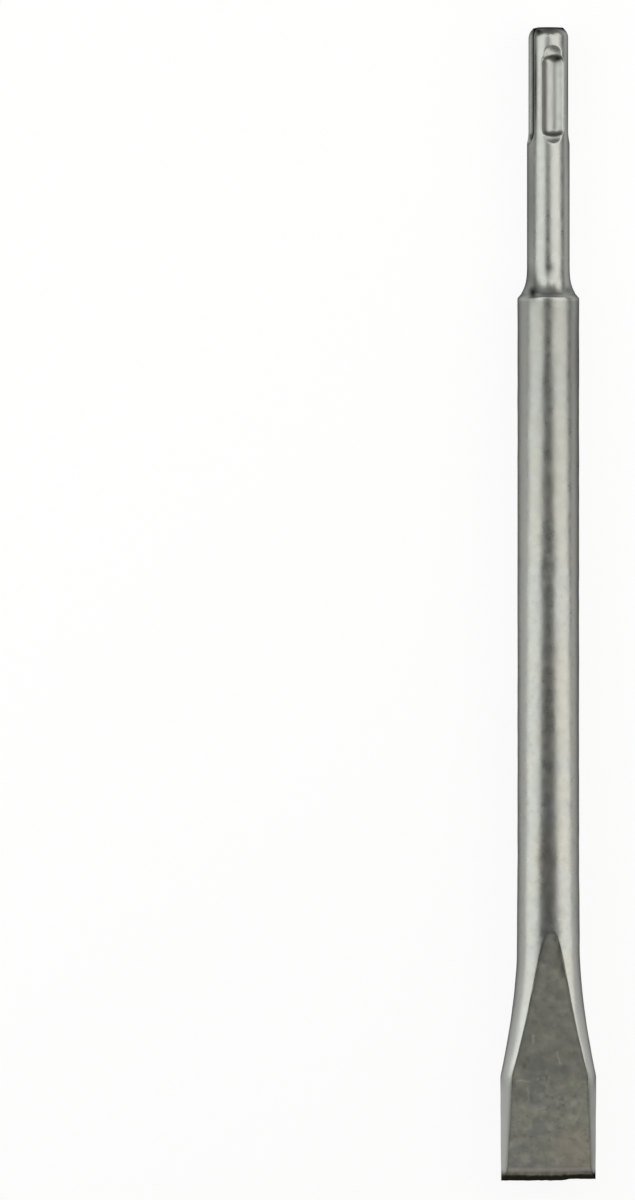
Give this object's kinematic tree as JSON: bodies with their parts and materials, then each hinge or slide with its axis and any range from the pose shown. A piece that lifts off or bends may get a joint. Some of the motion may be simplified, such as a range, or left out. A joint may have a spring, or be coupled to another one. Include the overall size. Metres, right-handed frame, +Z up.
{
  "type": "sds flat chisel",
  "caption": "Straight steel flat chisel for a rotary hammer: slotted round shank, round bar body and a blade forged flat and flared to a straight cutting edge.",
  "frame": {"origin": "under the middle of the chisel, on the surface it lies on", "axes": "+Y along the chisel towards the shank's end, +X across the blade, +Z up, square to the blade's two faces"},
  "size_m": [0.0226, 0.27, 0.0143],
  "materials": {
    "forged_steel": "shot-blasted bare forged steel, satin, with a darkened ground edge"
  },
  "bodies": {
    "root": {"flat_chisel": "forged_steel"}
  },
  "joints": []
}
